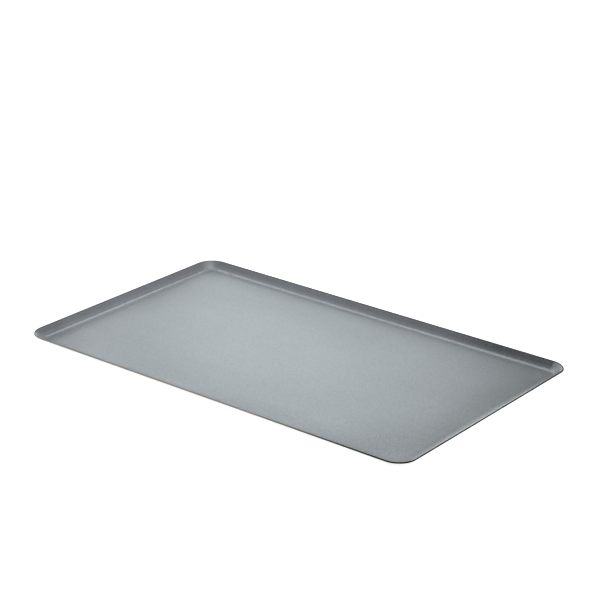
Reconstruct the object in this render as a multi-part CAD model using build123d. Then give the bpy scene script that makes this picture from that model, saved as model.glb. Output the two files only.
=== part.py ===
from build123d import *
import math
import os

# One flat steel blank with rounded corners, pressed into a shallow baking sheet:
# a flat floor, a bend all round, and low oblique walls that end in the plain cut edge.
# Millimetres. X runs along the long side, Y along the short side, Z up.
# The origin is the middle of the floor's underside, which is what the sheet stands on.

# Outline over the rim, seen from above. 530 by 325 is the gastronorm 1/1 size.
rim_length = 530.0
rim_width = 325.0
rim_corner_radius = 23.0

# Height from the floor's underside to the highest point of the rim.
rim_height = 10.0

# The sheet itself, which keeps its thickness through the bend and up the wall.
sheet_thickness = 1.5

# The bend between floor and wall: its inside radius, and how steeply the wall leaves it.
bend_radius = 7.0
wall_slope_degrees = 42.0

# The cut edge is square to the wall, with both of its corners deburred.
deburr_radius = 0.25


def wall_measures():
    """Length of the wall's straight part, and how far the rim reaches beyond the flat floor."""
    slope = math.radians(wall_slope_degrees)
    deburr_loss = deburr_radius * (math.sin(slope) + math.cos(slope) - 1)
    bend_top = sheet_thickness + bend_radius * (1 - math.cos(slope))
    straight = (rim_height + deburr_loss - bend_top) / math.sin(slope)
    reach = (
        (bend_radius + sheet_thickness) * math.sin(slope)
        + straight * math.cos(slope)
        - deburr_loss
    )
    return straight, reach


wall_straight, wall_reach = wall_measures()

# The flat floor is what the rim's reach leaves, and its corners are concentric with the rim's.
floor_length = rim_length - 2 * wall_reach
floor_width = rim_width - 2 * wall_reach
floor_corner_radius = rim_corner_radius - wall_reach


def wall_section():
    """Section through bend and wall, in the XZ plane: X runs outwards from the floor's edge."""
    slope = wall_slope_degrees
    bend_middle = (0, sheet_thickness + bend_radius)
    inside = CenterArc(bend_middle, bend_radius, -90, slope)
    outside = CenterArc(bend_middle, bend_radius + sheet_thickness, -90, slope)
    inside_wall = PolarLine(inside @ 1, wall_straight, slope)
    outside_wall = PolarLine(outside @ 1, wall_straight, slope)
    outline = Curve() + [
        inside,
        inside_wall,
        Line(inside_wall @ 1, outside_wall @ 1),
        outside_wall,
        outside,
        Line(inside @ 0, outside @ 0),
    ]
    section = make_face(outline)
    cut_corners = section.vertices().sort_by(Axis.X)[-2:]
    return Plane.XZ * fillet(cut_corners, deburr_radius)


def straight_wall(length, distance):
    """A wall that runs along Y, at this distance from the middle, on the +X side."""
    wall = extrude(wall_section(), length / 2, both=True)
    return Pos(distance, 0, 0) * wall


def corner_wall():
    """The quarter turn that joins two walls: a slice of cone over a slice of ring-shaped bend."""
    section = Pos(floor_corner_radius, 0, 0) * wall_section()
    corner = revolve(section, Axis.Z, 90)
    middle_x = floor_length / 2 - floor_corner_radius
    middle_y = floor_width / 2 - floor_corner_radius
    return Pos(middle_x, middle_y, 0) * corner


def floor_panel():
    """The flat floor, as far as the line where the bend starts."""
    outline = RectangleRounded(floor_length, floor_width, floor_corner_radius)
    return extrude(outline, sheet_thickness)


def baking_sheet():
    """The whole pressing: one floor, two pairs of walls and four corners, all one piece of steel."""
    end_wall = straight_wall(floor_width - 2 * floor_corner_radius, floor_length / 2)
    side_wall = Rot(0, 0, 90) * straight_wall(
        floor_length - 2 * floor_corner_radius, floor_width / 2
    )
    corner = corner_wall()
    next_corner = mirror(corner, Plane.YZ)
    half = [end_wall, side_wall, corner, next_corner]
    other_half = [Rot(0, 0, 180) * piece for piece in half]
    return floor_panel() + half + other_half


os.makedirs("parts", exist_ok=True)
export_step(baking_sheet(), "parts/baking_sheet.step")
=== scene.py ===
import bpy
import math
from mathutils import Matrix, Vector


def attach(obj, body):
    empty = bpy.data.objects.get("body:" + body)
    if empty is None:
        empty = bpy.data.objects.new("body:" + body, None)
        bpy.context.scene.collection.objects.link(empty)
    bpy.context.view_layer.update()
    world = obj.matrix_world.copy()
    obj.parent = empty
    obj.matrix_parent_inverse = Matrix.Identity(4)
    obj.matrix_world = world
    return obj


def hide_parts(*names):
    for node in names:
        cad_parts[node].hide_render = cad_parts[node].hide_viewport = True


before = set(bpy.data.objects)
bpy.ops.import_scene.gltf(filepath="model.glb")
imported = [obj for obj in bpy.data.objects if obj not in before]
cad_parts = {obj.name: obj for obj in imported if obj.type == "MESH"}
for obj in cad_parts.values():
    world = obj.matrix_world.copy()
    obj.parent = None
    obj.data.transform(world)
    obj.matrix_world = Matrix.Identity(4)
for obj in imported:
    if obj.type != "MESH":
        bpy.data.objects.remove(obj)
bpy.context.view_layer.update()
print("stage 1: the packed sheet is in place")


# Short helpers for shader nodes. A value may be a number or the output of another node.

def addNode(tree, kind, **settings):
    node = tree.nodes.new(kind)
    for name, value in settings.items():
        setattr(node, name, value)
    return node


def feed(tree, socket, value):
    if isinstance(value, bpy.types.NodeSocket):
        tree.links.new(value, socket)
    else:
        socket.default_value = value


def maths(tree, operation, first, second=0.0):
    node = addNode(tree, "ShaderNodeMath", operation=operation)
    feed(tree, node.inputs[0], first)
    feed(tree, node.inputs[1], second)
    return node.outputs[0]


def plus(tree, first, second):
    return maths(tree, "ADD", first, second)


def minus(tree, first, second):
    return maths(tree, "SUBTRACT", first, second)


def times(tree, first, second):
    return maths(tree, "MULTIPLY", first, second)


def vectorMaths(tree, operation, first, second=(0.0, 0.0, 0.0)):
    node = addNode(tree, "ShaderNodeVectorMath", operation=operation)
    feed(tree, node.inputs[0], first)
    feed(tree, node.inputs[3 if operation == "SCALE" else 1], second)
    return node.outputs["Value" if operation in ("LENGTH", "DOT_PRODUCT") else "Vector"]


def split(tree, vector):
    node = addNode(tree, "ShaderNodeSeparateXYZ")
    feed(tree, node.inputs[0], vector)
    return node.outputs[:]


def smoothStep(tree, value, low, high, outLow=0.0, outHigh=1.0):
    node = addNode(tree, "ShaderNodeMapRange", interpolation_type="SMOOTHSTEP")
    for index, item in enumerate((value, low, high, outLow, outHigh)):
        feed(tree, node.inputs[index], item)
    return node.outputs[0]


def noiseAt(tree, vector, stretch, detail, shift=(0.0, 0.0, 0.0)):
    # Noise around zero; stretch is cycles per metre along each axis.
    mapping = addNode(tree, "ShaderNodeMapping")
    feed(tree, mapping.inputs["Vector"], vector)
    feed(tree, mapping.inputs["Scale"], stretch)
    feed(tree, mapping.inputs["Location"], shift)
    noise = addNode(tree, "ShaderNodeTexNoise")
    feed(tree, noise.inputs["Vector"], mapping.outputs[0])
    feed(tree, noise.inputs["Scale"], 1.0)
    feed(tree, noise.inputs["Detail"], detail)
    return minus(tree, noise.outputs["Fac"], 0.5)


def mixColour(tree, share, first, second, blend="MIX"):
    # The node's colours are its sockets 6 and 7, and the mixed colour its output 2.
    node = addNode(tree, "ShaderNodeMix", data_type="RGBA", blend_type=blend)
    feed(tree, node.inputs["Factor"], share)
    feed(tree, node.inputs[6], first)
    feed(tree, node.inputs[7], second)
    return node.outputs[2]


def addShaders(tree, first, second, output):
    # The sum of two shaders is what the output shows.
    both = addNode(tree, "ShaderNodeAddShader")
    feed(tree, both.inputs[0], first.outputs[0])
    feed(tree, both.inputs[1], second.outputs[0])
    feed(tree, output.inputs["Surface"], both.outputs[0])


def freshMaterial(name):
    material = bpy.data.materials.new(name)
    material.use_nodes = True
    tree = material.node_tree
    tree.nodes.clear()
    output = addNode(tree, "ShaderNodeOutputMaterial")
    return material, tree, output


# The steel: a blued sheet with a satin, slightly uneven skin. Lengths are metres.

steelLook = {
    "colour": (0.388, 0.428, 0.450, 1.0),
    "roughness": 0.36,
    "bendLightTint": (1.035, 1.0, 1.02, 1.0),     # painted tint: the reflected light is greyer from the bend on and turns so over this distance from the bend's start but stays as it is at the +X end
    "bendTintOutwards": (-0.006, 0.0005),    # and turns so over this distance from the bend's start
    "bendTintAlong": (0.25, 0.24),           # but stays as it is at the +X end
    "wallLightTint": (0.985, 1.0, 1.03, 1.0),     # painted tint: the straight walls reflect a bluer light but not in the corners
    "cornerLightTint": (1.005, 1.0, 1.01, 1.0),   # but not in the corners
    "cornerTintReach": (0.02, 0.08),         # distances from a corner's middle
    "wallTintHeight": (0.0016, 0.0050),      # heights over which the two begin
    "underside": (0.76, 0.765, 0.735, 1.0),  # paler, as a painted reflection that brightens the outer wall
    "undersideDepth": (0.0007, 0.0003),      # where it begins, inwards from the lower face
    "cornerRoughness": 0.08,                 # added where the corners were drawn
    "cornerFade": 0.003,                     # over which a corner begins
    "grainRoughness": 0.10,
    "cloudRoughness": 0.05,
}

# The cut edge: dark, and rubbed bare along a part of the -Y side.
edgeLook = {
    "colour": (0.012, 0.0115, 0.010, 1.0),
    "worn": (0.44, 0.43, 0.40, 1.0),
    "wornAlong": (0.24, 0.04),               # it gets worn from the first place to the second
    "wornAcross": (-0.150, -0.158),
    "roughness": 0.55,
    "start": (0.0010, 0.0005),               # back from the wall's end
}

# The pressed sheet, as in its drawing. Its floor, bend and sloping wall follow a rounded rectangle.
sheetShape = {
    "cornerMiddle": (0.242, 0.1395, 0.0),    # middle of the rounded corners
    "floorRadius": 0.009858,                 # corner radius where the bend starts
    "thickness": 0.0015,
    "bendRadius": 0.007,                     # on the inside
    "slope": 42.0,
    "wall": 0.01017,                         # straight part of the wall
    "deburr": 0.00025,
    "floorRows": (0.95, 0.05),               # shares of the floor's last strip, narrow beside the bend
    "wallRows": (0.05, 0.89, 0.06),          # shares of the wall, narrow beside the bend and the rim
    "bendSteps": 16,
    "cornerSteps": 24,
    "deburrSteps": 3,
    "deburrAngle": 60.0,                     # only edges sharper than this are broken
    "smoothAngle": 40.0,
    "touching": 0.000001,                    # points nearer than this are one
    "slack": 0.00001,                        # for telling whether a point lies on a line
}

# Unevenness of the skin: cycles per metre along each axis, and share of the tone. The streaks and bands
# are left by rolling and run along the long side.
skinNoises = {
    "grain": {"stretch": (820, 820, 820), "detail": 1.0, "shift": (0, 0, 0), "tone": 0.78},
    "mottle": {"stretch": (330, 330, 330), "detail": 2.0, "shift": (1, 4, 2), "tone": 0.15},
    "streaks": {"stretch": (9, 420, 60), "detail": 3.0, "shift": (0, 0, 0), "tone": 0.07},
    "bands": {"stretch": (3.5, 34, 10), "detail": 2.0, "shift": (3, 7, 1), "tone": 0.07},
    "clouds": {"stretch": (19, 19, 19), "detail": 3.0, "shift": (5, 2, 4), "tone": 0.08},
}

# Radial marks in the drawn corners. Apart keeps the four corners' marks from being alike.
drawLines = {"spread": 2.2, "detail": 3.0, "apart": 30.0, "tone": 0.10}

# Painted shade and a painted highlight that follow the bend, at distances outwards from its start. Each one
# comes in between the first two and goes out between the last two. Painted shade darkens the floor beside the
# bend and the bend itself, and a painted highlight lightens the foot of the wall. The corner tone is what the
# corners have beyond the rest.
bendShadeAndHighlight = {
    "floor": {"outwards": (-0.009, -0.004, -0.002, 0.001), "tone": -0.05, "cornerTone": 0.0},
    "bend": {"outwards": (-0.0010, 0.0008, 0.0024, 0.0036), "tone": -0.09, "cornerTone": -0.07},
    "foot": {"outwards": (0.0026, 0.0046, 0.0050, 0.0080), "tone": 0.24, "cornerTone": 0.0},
}

# Marks of use: start and end on the sheet, width, and how much they darken or lighten.
marks = [
    {"start": (0.2015, 0.062), "end": (0.1965, 0.012), "width": 0.00035, "tone": -0.10},
    {"start": (0.1965, 0.012), "end": (0.1960, -0.032), "width": 0.00045, "tone": -0.22},
    {"start": (0.2150, 0.018), "end": (0.2140, -0.066), "width": 0.0006, "tone": 0.05},
    {"start": (-0.1860, -0.0965), "end": (-0.1770, -0.0885), "width": 0.0008, "tone": 0.09},
    {"start": (-0.1770, -0.0885), "end": (-0.1640, -0.0875), "width": 0.0008, "tone": 0.11},
]
markCore = 0.3      # share of a mark's width that is at full strength

# Painted light and shade in broad, faint patches: middle and reach on the sheet, and how much it darkens or
# lightens.
paintedWallLight = [
    {"place": (0.220, 0.157), "reach": (0.13, 0.03), "tone": -0.46},
    {"place": (0.085, 0.157), "reach": (0.06, 0.03), "tone": -0.10},
    {"place": (-0.160, 0.157), "reach": (0.13, 0.03), "tone": 0.10},
    {"place": (-0.260, 0.060), "reach": (0.03, 0.14), "tone": 0.13},
    {"place": (-0.260, -0.135), "reach": (0.03, 0.04), "tone": -0.16},
]
# On the floor and bend: painted light and shade, with a painted highlight along the +X bend and painted shade
# beneath the far bends.
paintedFloorLight = [
    {"place": (0.270, -0.160), "reach": (0.16, 0.17), "tone": -0.24},
    {"place": (0.255, 0.020), "reach": (0.06, 0.14), "tone": -0.12},
    {"place": (0.090, -0.150), "reach": (0.16, 0.04), "tone": -0.11},
    {"place": (-0.250, -0.150), "reach": (0.08, 0.06), "tone": -0.15},
    {"place": (-0.080, -0.010), "reach": (0.26, 0.12), "tone": 0.12},
    {"place": (0.130, 0.080), "reach": (0.10, 0.07), "tone": 0.05},
    {"place": (0.247, 0.142), "reach": (0.02, 0.03), "tone": 0.10},
    {"place": (0.2525, 0.010), "reach": (0.006, 0.16), "tone": 0.25},
    {"place": (-0.2490, -0.005), "reach": (0.0065, 0.22), "tone": -0.09},
    {"place": (-0.110, 0.1465), "reach": (0.21, 0.0065), "tone": -0.07},
]
patchCore = 0.35                   # share of a patch's reach that is at full strength
patchHeight = (0.0018, 0.0034)     # floor patches end and wall patches begin between these heights


def sheetPlaces(tree):
    # Where a point of the steel lies on the sheet.
    shape = sheetShape
    place = addNode(tree, "ShaderNodeTexCoord").outputs["Object"]
    flat = vectorMaths(tree, "MULTIPLY", place, (1.0, 1.0, 0.0))
    along, across, height = split(tree, place)
    corner = vectorMaths(tree, "MULTIPLY", vectorMaths(tree, "SIGN", flat), shape["cornerMiddle"])

    # Distance outwards from the bend's start, and distance up the wall, which ends at the cut edge.
    folded = vectorMaths(tree, "SUBTRACT", vectorMaths(tree, "ABSOLUTE", flat), shape["cornerMiddle"])
    outside = vectorMaths(tree, "LENGTH", vectorMaths(tree, "MAXIMUM", folded))
    outwards = minus(tree, outside, shape["floorRadius"])
    slope = math.radians(shape["slope"])
    below = minus(tree, shape["thickness"] + shape["bendRadius"], height)
    upWall = minus(tree, times(tree, outwards, math.cos(slope)), times(tree, below, math.sin(slope)))

    # Depth through the sheet, from the bend's inside radius on top to its outside radius below.
    aside = maths(tree, "MAXIMUM", outwards)
    beyond = maths(tree, "MAXIMUM", upWall)
    depth = plus(tree, maths(tree, "POWER", aside, 2.0), maths(tree, "POWER", below, 2.0))
    depth = maths(tree, "SQRT", minus(tree, depth, maths(tree, "POWER", beyond, 2.0)))

    pastAlong, pastAcross = split(tree, folded)[:2]
    return {
        "point": place, "flat": flat, "along": along, "across": across, "height": height,
        "outwards": outwards, "upWall": upWall, "depth": depth,
        "corner": corner, "fromCorner": vectorMaths(tree, "SUBTRACT", flat, corner),
        "pastCorner": maths(tree, "MINIMUM", pastAlong, pastAcross),
    }


def sheetShares(tree, places):
    # How far a point belongs to each part of the sheet.
    shape, look = sheetShape, steelLook
    edgeStart = shape["wall"] - shape["deburr"]
    bendOuter = shape["thickness"] + shape["bendRadius"]
    raised = smoothStep(tree, places["height"], *patchHeight)
    inCorner = smoothStep(tree, places["pastCorner"], 0.0, look["cornerFade"])
    return {
        "edge": smoothStep(tree, places["upWall"], *(edgeStart - back for back in edgeLook["start"])),
        "underside": smoothStep(tree, places["depth"], *(bendOuter - up for up in look["undersideDepth"])),
        "wall": smoothStep(tree, places["height"], *look["wallTintHeight"]),
        "corner": inCorner,
        "paintedFloorLight": minus(tree, 1.0, raised),
        "paintedWallLight": times(tree, raised, minus(tree, 1.0, inCorner)),
    }


def drawnLines(tree, places, shares):
    # Noise that only changes with the direction from the corner's middle.
    around = vectorMaths(tree, "ADD", vectorMaths(tree, "SCALE", places["corner"], drawLines["apart"]),
                        vectorMaths(tree, "NORMALIZE", places["fromCorner"]))
    lines = noiseAt(tree, around, (drawLines["spread"],) * 3, drawLines["detail"])
    return times(tree, times(tree, lines, shares["corner"]), shares["wall"])


def markShare(tree, flat, mark):
    # One where the point lies on the mark, falling to zero at its width.
    start = Vector((*mark["start"], 0.0))
    run = Vector((*mark["end"], 0.0)) - start
    offset = vectorMaths(tree, "SUBTRACT", flat, start)
    reached = vectorMaths(tree, "DOT_PRODUCT", offset, run / run.length)
    reached = maths(tree, "MINIMUM", maths(tree, "MAXIMUM", reached), run.length)
    nearest = vectorMaths(tree, "SCALE", run / run.length, reached)
    gap = vectorMaths(tree, "LENGTH", vectorMaths(tree, "SUBTRACT", offset, nearest))
    return smoothStep(tree, gap, mark["width"] * markCore, mark["width"], 1.0, 0.0)


def patchShare(tree, flat, patch):
    # One round the patch's middle, falling softly to zero at its reach.
    offset = vectorMaths(tree, "SUBTRACT", flat, (*patch["place"], 0.0))
    gap = vectorMaths(tree, "LENGTH", vectorMaths(tree, "DIVIDE", offset, (*patch["reach"], 1.0)))
    return smoothStep(tree, gap, patchCore, 1.0, 1.0, 0.0)


def between(tree, value, low, first, second, high):
    # One between first and second, falling to zero at low and at high.
    comesIn = smoothStep(tree, value, low, first)
    goesOut = smoothStep(tree, value, second, high, 1.0, 0.0)
    return times(tree, comesIn, goesOut)


def marksAndPaintedLight(tree, places, shares):
    # Marks, the painted shade and highlight along the bend, and patches of painted light and shade on the
    # upper face, all added up.
    marksAndLightTone = 0.0
    # Painted shade and highlight along the bend.
    for line in bendShadeAndHighlight.values():
        lineTone = plus(tree, times(tree, shares["corner"], line["cornerTone"]), line["tone"])
        marksAndLightTone = plus(tree, marksAndLightTone, times(tree, between(tree, places["outwards"], *line["outwards"]), lineTone))
    for mark in marks:
        marksAndLightTone = plus(tree, marksAndLightTone, times(tree, markShare(tree, places["flat"], mark), mark["tone"]))
    # Patches of painted light and shade.
    for patches, share in ((paintedWallLight, shares["paintedWallLight"]), (paintedFloorLight, shares["paintedFloorLight"])):
        for patch in patches:
            patchTone = times(tree, patchShare(tree, places["flat"], patch), patch["tone"])
            marksAndLightTone = plus(tree, marksAndLightTone, times(tree, patchTone, share))
    return marksAndLightTone


def skinColour(tree, places, shares):
    # The blued upper face with its painted light tints, and the paler lower one, before the tone.
    look = steelLook
    fromCorners = smoothStep(tree, vectorMaths(tree, "LENGTH", places["fromCorner"]), *look["cornerTintReach"])
    # Painted tints for the colour of the light that the bend, walls and corners reflect.
    lightTint = mixColour(tree, fromCorners, look["cornerLightTint"], look["wallLightTint"])
    onBend = times(tree, smoothStep(tree, places["outwards"], *look["bendTintOutwards"]),
                   smoothStep(tree, places["along"], *look["bendTintAlong"]))
    upper = mixColour(tree, onBend, look["colour"], look["bendLightTint"], "MULTIPLY")
    upper = mixColour(tree, shares["wall"], upper, lightTint, "MULTIPLY")
    # The lower face's paler colour is a painted reflection of the white floor.
    return mixColour(tree, shares["underside"], upper, look["underside"])


def edgeColour(tree, places):
    worn = times(tree, smoothStep(tree, places["along"], *edgeLook["wornAlong"]),
                 smoothStep(tree, places["across"], *edgeLook["wornAcross"]))
    return mixColour(tree, worn, edgeLook["colour"], edgeLook["worn"])


def makeSteel():
    material, tree, output = freshMaterial("bluedSteel")
    look = steelLook
    places = sheetPlaces(tree)
    shares = sheetShares(tree, places)

    tone = 1.0
    noises = {}
    for name, noise in skinNoises.items():
        noises[name] = noiseAt(tree, places["point"], noise["stretch"], noise["detail"], noise["shift"])
        tone = plus(tree, tone, times(tree, noises[name], noise["tone"]))
    tone = plus(tree, tone, times(tree, drawnLines(tree, places, shares), drawLines["tone"]))
    onTop = minus(tree, 1.0, shares["underside"])
    # Marks of use and painted light and shade, on the upper face only.
    tone = plus(tree, tone, times(tree, marksAndPaintedLight(tree, places, shares), onTop))

    skin = vectorMaths(tree, "SCALE", skinColour(tree, places, shares), tone)
    colour = mixColour(tree, shares["edge"], skin, edgeColour(tree, places))
    roughness = plus(tree, look["roughness"], times(tree, noises["grain"], look["grainRoughness"]))
    roughness = plus(tree, roughness, times(tree, noises["clouds"], look["cloudRoughness"]))
    roughness = plus(tree, roughness, times(tree, shares["corner"], look["cornerRoughness"]))
    roughness = smoothStep(tree, shares["edge"], 0.0, 1.0, roughness, edgeLook["roughness"])

    shader = addNode(tree, "ShaderNodeBsdfPrincipled")
    feed(tree, shader.inputs["Metallic"], 1.0)
    feed(tree, shader.inputs["Base Color"], colour)
    feed(tree, shader.inputs["Roughness"], roughness)
    feed(tree, output.inputs["Surface"], shader.outputs["BSDF"])
    return material


# The sheet is modelled as one quarter, then mirrored and given its thickness.

def selectEdges(mesh, belongs):
    # Chooses the edges whose two ends both pass the test, for the next operator.
    bpy.ops.object.mode_set(mode="OBJECT")
    for parts in (mesh.vertices, mesh.edges, mesh.polygons):
        for part in parts:
            part.select = False
    for edge in mesh.edges:
        ends = [mesh.vertices[index] for index in edge.vertices]
        if all(belongs(end.co) for end in ends):
            edge.select = ends[0].select = ends[1].select = True
    bpy.ops.object.mode_set(mode="EDIT")


def pull(offset):
    bpy.ops.mesh.extrude_region_move(TRANSFORM_OT_translate={"value": tuple(offset)})


def addModifier(piece, kind, **settings):
    modifier = piece.modifiers.new(kind.title(), kind)
    for name, value in settings.items():
        setattr(modifier, name, value)
    bpy.ops.object.modifier_apply(modifier=modifier.name)


def makeSheet():
    shape = sheetShape
    middleX, middleY = shape["cornerMiddle"][:2]
    slope = math.radians(shape["slope"])
    wall = Vector((math.cos(slope), 0.0, math.sin(slope))) * shape["wall"]
    bpy.ops.object.select_all(action="DESELECT")
    bpy.ops.mesh.primitive_plane_add(size=1, location=(middleX / 2, middleY / 2, shape["thickness"]))
    piece = bpy.context.object
    piece.name = "pressedSheet"
    piece.scale = (middleX, middleY, 1.0)
    bpy.ops.object.transform_apply(location=True, rotation=True, scale=True)
    mesh = piece.data

    # The end's floor, bend and wall. Narrow rows beside the bend and the rim keep the flats flat.
    bpy.ops.object.mode_set(mode="EDIT")
    bpy.ops.mesh.select_mode(type="EDGE")
    selectEdges(mesh, lambda place: place.x > middleX - shape["slack"])
    for share in shape["floorRows"]:
        pull((shape["floorRadius"] * share, 0.0, 0.0))
    bpy.ops.mesh.spin(steps=shape["bendSteps"], angle=slope, axis=(0.0, 1.0, 0.0),
                      center=(middleX + shape["floorRadius"], 0.0, shape["thickness"] + shape["bendRadius"]))
    for share in shape["wallRows"]:
        pull(wall * share)

    # The corner is the same section turned through a right angle, and the side carries on from it.
    selectEdges(mesh, lambda place: min(place.x - middleX, place.y - middleY) > -shape["slack"])
    bpy.ops.mesh.spin(steps=shape["cornerSteps"], angle=math.pi / 2, axis=(0.0, 0.0, -1.0),
                      center=shape["cornerMiddle"])
    pull((-middleX, 0.0, 0.0))
    bpy.ops.mesh.select_all(action="SELECT")
    bpy.ops.mesh.remove_doubles(threshold=shape["touching"])
    bpy.ops.mesh.normals_make_consistent(inside=False)
    bpy.ops.object.mode_set(mode="OBJECT")

    # The upper face has to look up, because the thickness is added below it.
    if mesh.polygons[0].normal.z < 0:
        bpy.ops.object.mode_set(mode="EDIT")
        bpy.ops.mesh.flip_normals()
        bpy.ops.object.mode_set(mode="OBJECT")

    addModifier(piece, "MIRROR", use_axis=(True, True, False), merge_threshold=shape["touching"])
    addModifier(piece, "SOLIDIFY", thickness=shape["thickness"], offset=-1.0, use_even_offset=True)
    addModifier(piece, "BEVEL", width=shape["deburr"], segments=shape["deburrSteps"],
                limit_method="ANGLE", angle_limit=math.radians(shape["deburrAngle"]))
    bpy.ops.object.shade_smooth_by_angle(angle=math.radians(shape["smoothAngle"]))
    mesh.materials.append(makeSteel())
    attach(piece, "root")
    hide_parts("baking_sheet")


makeSheet()
print("stage 2: the sheet is pressed and has its steel")


# A white floor that keeps only a faint contact shadow.

floorLook = {
    "size": 24.0,
    "gap": 0.0002,               # below the sheet, so that the two never share a plane
    "colour": (0.60, 0.60, 0.60, 1.0),
    "white": 0.91,               # the rest of the way to white is lit, so the sheet's shadow stays
}


def makeFloor():
    bpy.ops.object.select_all(action="DESELECT")
    bpy.ops.mesh.primitive_plane_add(size=floorLook["size"], location=(0, 0, -floorLook["gap"]))
    floor = bpy.context.object
    floor.name = "floor"
    material, tree, output = freshMaterial("whiteFloor")
    matt = addNode(tree, "ShaderNodeBsdfDiffuse")
    feed(tree, matt.inputs["Color"], floorLook["colour"])
    white = addNode(tree, "ShaderNodeEmission")
    path = addNode(tree, "ShaderNodeLightPath")
    seen = maths(tree, "MAXIMUM", path.outputs["Is Camera Ray"], path.outputs["Is Glossy Ray"])
    seen = maths(tree, "MAXIMUM", seen, path.outputs["Is Transmission Ray"])
    feed(tree, white.inputs["Strength"], times(tree, seen, floorLook["white"]))
    addShaders(tree, matt, white, output)
    floor.data.materials.append(material)


makeFloor()


# The room: dim grey, with white where the camera looks. Reflections see that white too, up to
# where the backdrop ends above the horizon.

roomLook = {
    "grey": (0.20, 0.20, 0.20, 1.0),
    "white": 0.80,               # added to the grey
    "backdropTop": (0.10, 0.25),  # sines of the angles of rise between which the backdrop fades out
}


def makeRoom():
    world = bpy.data.worlds.new("room")
    bpy.context.scene.world = world
    world.use_nodes = True
    tree = world.node_tree
    tree.nodes.clear()
    output = addNode(tree, "ShaderNodeOutputWorld")
    grey = addNode(tree, "ShaderNodeBackground")
    feed(tree, grey.inputs["Color"], roomLook["grey"])
    rise = split(tree, addNode(tree, "ShaderNodeTexCoord").outputs["Generated"])[2]
    backdrop = smoothStep(tree, rise, *roomLook["backdropTop"], 1.0, 0.0)
    path = addNode(tree, "ShaderNodeLightPath")
    mirrored = maths(tree, "MAXIMUM", path.outputs["Is Glossy Ray"], path.outputs["Is Transmission Ray"])
    seen = maths(tree, "MAXIMUM", path.outputs["Is Camera Ray"], times(tree, mirrored, backdrop))
    white = addNode(tree, "ShaderNodeBackground")
    feed(tree, white.inputs["Color"], (1.0, 1.0, 1.0, 1.0))
    feed(tree, white.inputs["Strength"], times(tree, seen, roomLook["white"]))
    addShaders(tree, grey, white, output)


makeRoom()


# The camera stands where the photograph was taken from.

photoView = {
    "azimuth": 37.74,            # degrees, 0 looks along +Y
    "elevation": 21.72,
    "roll": 0.98,
    "distance": 2.2874,
    "target": (-0.08807, 0.12208, 0.0100),
    "sensor": 36.0,
    "lens": 113.947,
}


def directionTo(azimuth, elevation):
    turn, rise = math.radians(azimuth), math.radians(elevation)
    return Vector((math.sin(turn) * math.cos(rise), -math.cos(turn) * math.cos(rise), math.sin(rise)))


def axesFor(back, roll=0.0):
    # Right, up and back of a camera or a lamp that looks the other way from back.
    right = Vector((0, 0, 1)).cross(back).normalized()
    up = back.cross(right)
    turn = math.radians(roll)
    rolledRight = right * math.cos(turn) + up * math.sin(turn)
    rolledUp = up * math.cos(turn) - right * math.sin(turn)
    return Matrix((rolledRight, rolledUp, back)).transposed()


def makeCamera():
    back = directionTo(photoView["azimuth"], photoView["elevation"])
    place = Vector(photoView["target"]) + back * photoView["distance"]
    data = bpy.data.cameras.new("photoCamera")
    data.sensor_width = photoView["sensor"]
    data.lens = photoView["lens"]
    camera = bpy.data.objects.new("photoCamera", data)
    camera.matrix_world = Matrix.Translation(place) @ axesFor(back, photoView["roll"]).to_4x4()
    bpy.context.scene.collection.objects.link(camera)
    bpy.context.scene.camera = camera


makeCamera()
bpy.context.scene.view_settings.view_transform = "Standard"
print("stage 3: floor, room and camera are set")


# Soft lamps round the sheet. Each one faces its middle, from an azimuth and an elevation in degrees, and
# a mirror would show it as bright as its radiance says.

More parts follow.
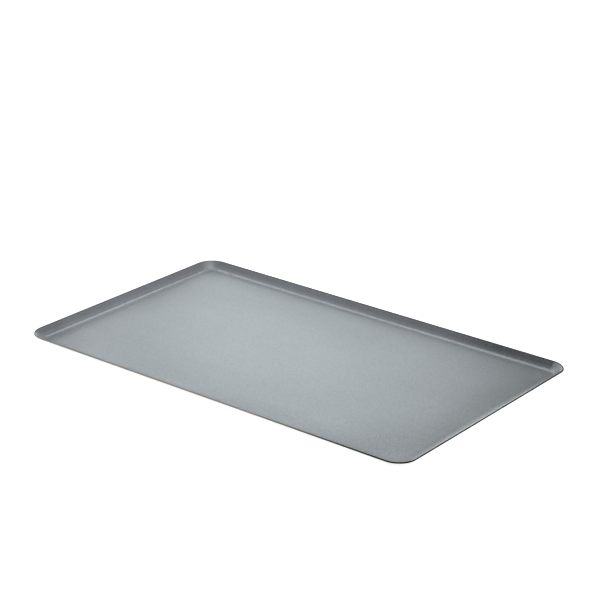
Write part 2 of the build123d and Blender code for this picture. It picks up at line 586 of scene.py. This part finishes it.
softLamps = [
    {"name": "lowPanel", "azimuth": 223, "elevation": 4, "distance": 1.30,
     "width": 0.60, "height": 0.16, "radiance": 1.55},
    {"name": "lowMiddle", "azimuth": 218, "elevation": 11, "distance": 1.30,
     "width": 0.55, "height": 0.16, "radiance": 1.30},
    {"name": "lowWing", "azimuth": 243, "elevation": 11, "distance": 1.30,
     "width": 0.45, "height": 0.16, "radiance": 2.85},
    {"name": "midPanel", "azimuth": 213, "elevation": 18, "distance": 1.30,
     "width": 0.65, "height": 0.18, "radiance": 0.86},
    {"name": "midWing", "azimuth": 243, "elevation": 18, "distance": 1.30,
     "width": 0.45, "height": 0.18, "radiance": 0.27},
    {"name": "backPanel", "azimuth": 218, "elevation": 38, "distance": 1.50,
     "width": 0.75, "height": 0.36, "radiance": 1.50},
    {"name": "backWing", "azimuth": 246, "elevation": 38, "distance": 1.50,
     "width": 0.65, "height": 0.36, "radiance": 1.03},
    {"name": "highPanel", "azimuth": 218, "elevation": 52, "distance": 1.70,
     "width": 0.75, "height": 0.45, "radiance": 0.68},
    {"name": "leftTop", "azimuth": 275, "elevation": 52, "distance": 1.70,
     "width": 0.50, "height": 0.40, "radiance": 0.43},
    {"name": "rightTop", "azimuth": 148, "elevation": 46, "distance": 1.80,
     "width": 0.50, "height": 0.50, "radiance": 0.85},
    {"name": "overRight", "azimuth": 112, "elevation": 58, "distance": 1.80,
     "width": 0.60, "height": 0.50, "radiance": 1.25},
    {"name": "overhead", "azimuth": 70, "elevation": 72, "distance": 1.80,
     "width": 0.60, "height": 0.50, "radiance": 1.00},
    {"name": "ceiling", "azimuth": 218, "elevation": 83, "distance": 1.90,
     "width": 1.10, "height": 0.80, "radiance": 0.95},
    {"name": "leftWing", "azimuth": 272, "elevation": 16, "distance": 2.00,
     "width": 1.10, "height": 0.60, "radiance": 0.40},
    {"name": "frontPanel", "azimuth": 38, "elevation": 20, "distance": 2.00,
     "width": 2.20, "height": 1.00, "radiance": 0.80},
    {"name": "leftPanel", "azimuth": 325, "elevation": 15, "distance": 2.00,
     "width": 1.20, "height": 0.80, "radiance": 0.60},
    {"name": "rightPanel", "azimuth": 110, "elevation": 15, "distance": 2.00,
     "width": 1.20, "height": 0.80, "radiance": 0.60},
]


def makeLamps():
    for lamp in softLamps:
        data = bpy.data.lights.new(lamp["name"], "AREA")
        data.shape = "RECTANGLE"
        data.size = lamp["width"]
        data.size_y = lamp["height"]
        data.energy = math.pi * lamp["width"] * lamp["height"] * lamp["radiance"]
        back = directionTo(lamp["azimuth"], lamp["elevation"])
        panel = bpy.data.objects.new(lamp["name"], data)
        panel.matrix_world = Matrix.Translation(back * lamp["distance"]) @ axesFor(back).to_4x4()
        panel.visible_camera = False
        bpy.context.scene.collection.objects.link(panel)


makeLamps()
print("stage 4: the lamps are set")
